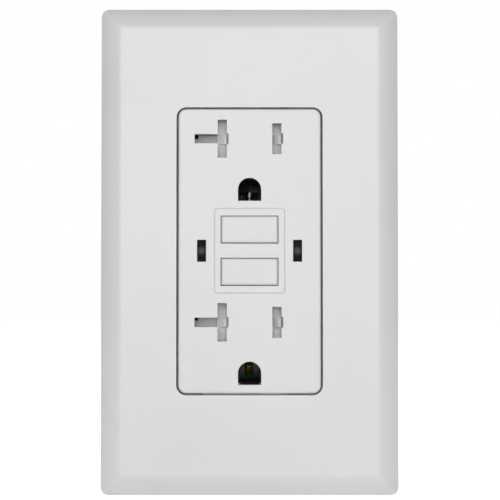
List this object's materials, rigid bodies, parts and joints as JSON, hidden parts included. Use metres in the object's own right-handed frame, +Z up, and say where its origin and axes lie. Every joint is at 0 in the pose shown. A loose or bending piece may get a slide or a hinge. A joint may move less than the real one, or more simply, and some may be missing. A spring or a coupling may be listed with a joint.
{
  "type": "gfci outlet",
  "caption": "Tamper-resistant duplex wall outlet with ground-fault protection, test and reset buttons, trip mechanism, clamp terminals and a screwless plate that clips on.",
  "frame": {"origin": "midway between the two box screws, on the plane of the finished wall", "axes": "+X to the right seen from the room, +Y into the wall, +Z up; the face looks along -Y"},
  "size_m": [0.0698, 0.0346, 0.1142],
  "materials": {
    "white_gloss": "gloss",
    "bracket_grey": "satin",
    "bronze": "satin",
    "shutter": "satin",
    "tray": "matte",
    "light_pipe": "gloss",
    "white_paint": "gloss",
    "zinc": "satin",
    "green_paint": "satin",
    "brass": "satin",
    "nickel": "satin",
    "fibre": "matte",
    "dark_moulding": "matte",
    "housing": "satin",
    "spring_steel": "satin",
    "copper": "gloss",
    "nylon": "satin",
    "board": "satin",
    "core": "satin",
    "lamp": "gloss",
    "varistor": "gloss",
    "capacitor": "gloss",
    "resistor": "satin",
    "chip": "matte"
  },
  "bodies": {
    "device": {"box_screws": "zinc", "bracket_screws": "white_paint", "circuit_board": "board", "control_chip": "chip", "face_cover": "white_gloss", "filter_capacitors": "capacitor", "ground_contact_lower": "bronze", "ground_contact_upper": "bronze", "ground_rivets": "zinc", "hot_contact_strip": "brass", "housing_screws": "zinc", "line_hot_terminal": "brass", "line_neutral_terminal": "brass", "mid_frame": "dark_moulding", "mounting_bracket": "bracket_grey", "mounting_strap": "zinc", "neutral_contact_strip": "brass", "neutral_transformer": "core", "plunger_spring": "spring_steel", "rear_housing": "housing", "reset_spring": "spring_steel", "resistors": "resistor", "screw_retainers": "fibre", "sensing_transformer": "core", "shutter_spring_lower": "spring_steel", "shutter_spring_upper": "spring_steel", "shutter_tray_lower": "tray", "shutter_tray_upper": "tray", "solenoid_bobbin": "nylon", "solenoid_coil": "copper", "solenoid_frame": "zinc", "status_leds": "lamp", "status_lens_left": "light_pipe", "status_lens_right": "light_pipe", "surge_varistor": "varistor", "test_contact": "copper", "thyristor": "chip"},
    "cover": {"cover_plate": "white_gloss"},
    "test_button": {"test_button": "white_gloss"},
    "reset_button": {"reset_button": "white_gloss", "reset_pin": "spring_steel"},
    "latch_block": {"latch_block": "nylon"},
    "latch_plate": {"latch_plate": "spring_steel"},
    "plunger": {"solenoid_plunger": "spring_steel"},
    "hot_arm": {"line_hot_arm": "copper"},
    "neutral_arm": {"line_neutral_arm": "copper"},
    "ground_clamp": {"ground_clamp": "green_paint"},
    "ground_screw": {"ground_screw": "green_paint"},
    "shutter_slide_upper": {"shutter_slide_upper": "shutter"},
    "shutter_gate_upper": {"shutter_gate_upper": "shutter"},
    "shutter_slide_lower": {"shutter_slide_lower": "shutter"},
    "shutter_gate_lower": {"shutter_gate_lower": "shutter"},
    "line_hot_screw": {"line_hot_screw": "brass"},
    "line_hot_clamp": {"line_hot_clamp": "zinc"},
    "line_neutral_screw": {"line_neutral_screw": "nickel"},
    "line_neutral_clamp": {"line_neutral_clamp": "zinc"},
    "load_hot_screw": {"load_hot_screw": "brass"},
    "load_hot_clamp": {"load_hot_clamp": "zinc"},
    "load_neutral_screw": {"load_neutral_screw": "nickel"},
    "load_neutral_clamp": {"load_neutral_clamp": "zinc"}
  },
  "joints": [
    {"name": "cover_pull", "type": "slide", "parent": "device", "child": "cover", "axis": [0, -1, 0], "range_m": [0, 0.012]},
    {"name": "test_press", "type": "slide", "parent": "device", "child": "test_button", "axis": [0, 1, 0], "range_m": [0, 0.0012], "stiffness_N_per_m": 1200, "springref_m": -0.0005},
    {"name": "reset_press", "type": "slide", "parent": "device", "child": "reset_button", "axis": [0, 1, 0], "range_m": [-0.0008, 0.0024], "stiffness_N_per_m": 900, "deforming": ["reset_spring"]},
    {"name": "latch_drop", "type": "slide", "parent": "device", "child": "latch_block", "axis": [0, 1, 0], "range_m": [0, 0.0018]},
    {"name": "plunger_slide", "type": "slide", "parent": "device", "child": "plunger", "axis": [0, 0, -1], "range_m": [0, 0.0016], "stiffness_N_per_m": 250, "springref_m": -0.0006, "deforming": ["plunger_spring"]},
    {"name": "latch_slide", "type": "slide", "parent": "latch_block", "child": "latch_plate", "axis": [0, 0, -1], "range_m": [0, 0.0016]},
    {"name": "hot_arm_swing", "type": "hinge", "parent": "device", "child": "hot_arm", "pos_m": [0.0151, 0.0127, -0.0112], "axis": [-1, 0, 0], "range_deg": [0, 12]},
    {"name": "neutral_arm_swing", "type": "hinge", "parent": "device", "child": "neutral_arm", "pos_m": [-0.0151, 0.0127, -0.0112], "axis": [-1, 0, 0], "range_deg": [0, 12]},
    {"name": "shutter_upper", "type": "slide", "parent": "device", "child": "shutter_slide_upper", "axis": [1, 0, 0], "range_m": [0, 0.0026], "stiffness_N_per_m": 120, "springref_m": -0.001, "deforming": ["shutter_spring_upper"]},
    {"name": "gate_upper", "type": "slide", "parent": "device", "child": "shutter_gate_upper", "axis": [0, 0, 1], "range_m": [0, 0.0026]},
    {"name": "shutter_lower", "type": "slide", "parent": "device", "child": "shutter_slide_lower", "axis": [1, 0, 0], "range_m": [0, 0.0026], "stiffness_N_per_m": 120, "springref_m": -0.001, "deforming": ["shutter_spring_lower"]},
    {"name": "gate_lower", "type": "slide", "parent": "device", "child": "shutter_gate_lower", "axis": [0, 0, 1], "range_m": [0, 0.0026]},
    {"name": "line_hot_screw_turn", "type": "hinge", "parent": "device", "child": "line_hot_screw", "pos_m": [0.018, 0.0142, -0.017], "axis": [1, 0, 0], "range_deg": [0, 1080]},
    {"name": "line_hot_clamp_slide", "type": "slide", "parent": "device", "child": "line_hot_clamp", "axis": [-1, 0, 0], "range_m": [0, 0.00238]},
    {"name": "line_neutral_screw_turn", "type": "hinge", "parent": "device", "child": "line_neutral_screw", "pos_m": [-0.018, 0.0142, -0.017], "axis": [-1, 0, 0], "range_deg": [0, 1080]},
    {"name": "line_neutral_clamp_slide", "type": "slide", "parent": "device", "child": "line_neutral_clamp", "axis": [1, 0, 0], "range_m": [0, 0.00238]},
    {"name": "load_hot_screw_turn", "type": "hinge", "parent": "device", "child": "load_hot_screw", "pos_m": [0.018, 0.0142, 0.017], "axis": [1, 0, 0], "range_deg": [0, 1080]},
    {"name": "load_hot_clamp_slide", "type": "slide", "parent": "device", "child": "load_hot_clamp", "axis": [-1, 0, 0], "range_m": [0, 0.00238]},
    {"name": "load_neutral_screw_turn", "type": "hinge", "parent": "device", "child": "load_neutral_screw", "pos_m": [-0.018, 0.0142, 0.017], "axis": [-1, 0, 0], "range_deg": [0, 1080]},
    {"name": "load_neutral_clamp_slide", "type": "slide", "parent": "device", "child": "load_neutral_clamp", "axis": [1, 0, 0], "range_m": [0, 0.00238]},
    {"name": "ground_clamp_slide", "type": "slide", "parent": "device", "child": "ground_clamp", "axis": [0, 0, -1], "range_m": [0, 0.00159]},
    {"name": "ground_screw_turn", "type": "hinge", "parent": "ground_clamp", "child": "ground_screw", "pos_m": [-0.0066, 0.0074, -0.04], "axis": [0, 0, -1], "range_deg": [0, 720]}
  ],
  "couplings": [
    {"joint": "latch_slide", "follows": "plunger_slide", "ratio": 1},
    {"joint": "hot_arm_swing", "follows": "latch_drop", "rad_per_m": 111},
    {"joint": "neutral_arm_swing", "follows": "latch_drop", "rad_per_m": 111},
    {"joint": "line_hot_screw_turn", "follows": "line_hot_clamp_slide", "rad_per_m": 7919.9},
    {"joint": "line_neutral_screw_turn", "follows": "line_neutral_clamp_slide", "rad_per_m": 7919.9},
    {"joint": "load_hot_screw_turn", "follows": "load_hot_clamp_slide", "rad_per_m": 7919.9},
    {"joint": "load_neutral_screw_turn", "follows": "load_neutral_clamp_slide", "rad_per_m": 7919.9},
    {"joint": "ground_screw_turn", "follows": "ground_clamp_slide", "rad_per_m": 7913.3}
  ]
}
